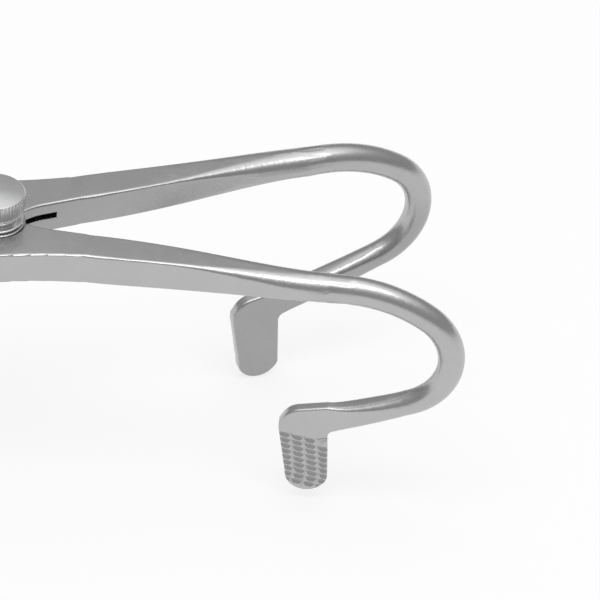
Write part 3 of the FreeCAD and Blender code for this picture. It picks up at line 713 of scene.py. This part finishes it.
def make_sky():
    """The level goes from horizon to shoulder in a straight line of the height, and from there
    to the zenith in a steeper one."""
    world = bpy.data.worlds.new("sky")
    bpy.context.scene.world = world
    world.use_nodes = True
    tree = world.node_tree
    direction = Wire(tree).node("ShaderNodeTexCoord", output="Generated")
    height = direction.node("ShaderNodeSeparateXYZ", {}, {"Vector": direction}, output="Z")
    low = (height * (1 / SHOULDER_HEIGHT)).clamp(0.0, 1.0)
    high = ((height - SHOULDER_HEIGHT) * (1 / (1 - SHOULDER_HEIGHT))).clamp(0.0, 1.0)
    level = HORIZON + low * (SHOULDER - HORIZON) + high * (ZENITH - SHOULDER)
    tree.links.new(level.socket, tree.nodes["Background"].inputs["Strength"])
    tree.nodes["Background"].inputs["Color"].default_value = (1.0, 1.0, 1.0, 1.0)
    return world


sky = make_sky()
print("sky:", len(sky.node_tree.nodes), "nodes")

# %% [markdown]
# ## The soft box
# The bright line along each rounded edge and each rod is the mirror image of one long lamp. A
# sun or a spot would draw it thin and hard. A wide rectangle of even light above the arms, a
# little to the camera's side, draws it broad and soft.

# %% One lamp
BOX_ELEVATION = math.radians(74)
BOX_DISTANCE = 0.9
BOX_LENGTH, BOX_WIDTH = 0.9, 0.32
BOX_RADIANCE = 2.2
AIM = Vector((0.04, 0.0, -0.01))

lamp = bpy.data.lights.new("soft_box", "AREA")
lamp.shape = "RECTANGLE"
lamp.size, lamp.size_y = BOX_LENGTH, BOX_WIDTH
lamp.energy = BOX_RADIANCE * math.pi * BOX_LENGTH * BOX_WIDTH
soft_box = bpy.data.objects.new("soft_box", lamp)
upwards = Vector((0.0, -math.cos(BOX_ELEVATION), math.sin(BOX_ELEVATION)))
soft_box.location = AIM + BOX_DISTANCE * upwards
soft_box.rotation_mode = "QUATERNION"
soft_box.rotation_quaternion = (-upwards).to_track_quat("-Z", "Y")
bpy.context.scene.collection.objects.link(soft_box)
print("soft box power in watts:", round(lamp.energy, 2))

# %% [markdown]
# ## The camera
# The picture looks down at the instrument from the tongue arm's side, a little rolled, and
# from so far away that the arms hardly taper. It was found by matching the outline of the
# bends and plates: a direction, a roll, a distance, and the step sideways that puts the
# instrument where it is in the picture.

# %% The directions of the picture
AZIMUTH, ELEVATION, ROLL = (math.radians(angle) for angle in (-10.67, 38.68, 5.52))

backwards = Vector((math.sin(AZIMUTH) * math.cos(ELEVATION),
                    -math.cos(AZIMUTH) * math.cos(ELEVATION), math.sin(ELEVATION)))
level_right = Vector((math.cos(AZIMUTH), math.sin(AZIMUTH), 0.0))
level_up = backwards.cross(level_right)
right = level_right * math.cos(ROLL) + level_up * math.sin(ROLL)
above = level_up * math.cos(ROLL) - level_right * math.sin(ROLL)
print("the camera looks along", [round(-v, 3) for v in backwards])

# %% The photograph's viewpoint
TARGET = Vector((0.060, 0.0, -0.005))
DISTANCE = 3.2027
SHIFT_RIGHT, SHIFT_UP = -0.00363, 0.01141
PICTURE_PIXELS = 600
METRES_PER_PIXEL = 0.000205
SENSOR_WIDTH = 36.0
FARTHEST = 100.0

camera_data = bpy.data.cameras.new("camera")
camera_data.sensor_width = SENSOR_WIDTH
camera_data.lens = SENSOR_WIDTH * DISTANCE / (PICTURE_PIXELS * METRES_PER_PIXEL)
camera_data.clip_end = FARTHEST
camera = bpy.data.objects.new("camera", camera_data)
turn = Matrix((right, above, backwards)).transposed().to_4x4()
stand = TARGET - SHIFT_RIGHT * right - SHIFT_UP * above + DISTANCE * backwards
camera.matrix_world = Matrix.Translation(stand) @ turn
bpy.context.scene.collection.objects.link(camera)
bpy.context.scene.camera = camera
bpy.context.scene.view_settings.view_transform = "Standard"
print("lens in mm:", round(camera_data.lens, 1))
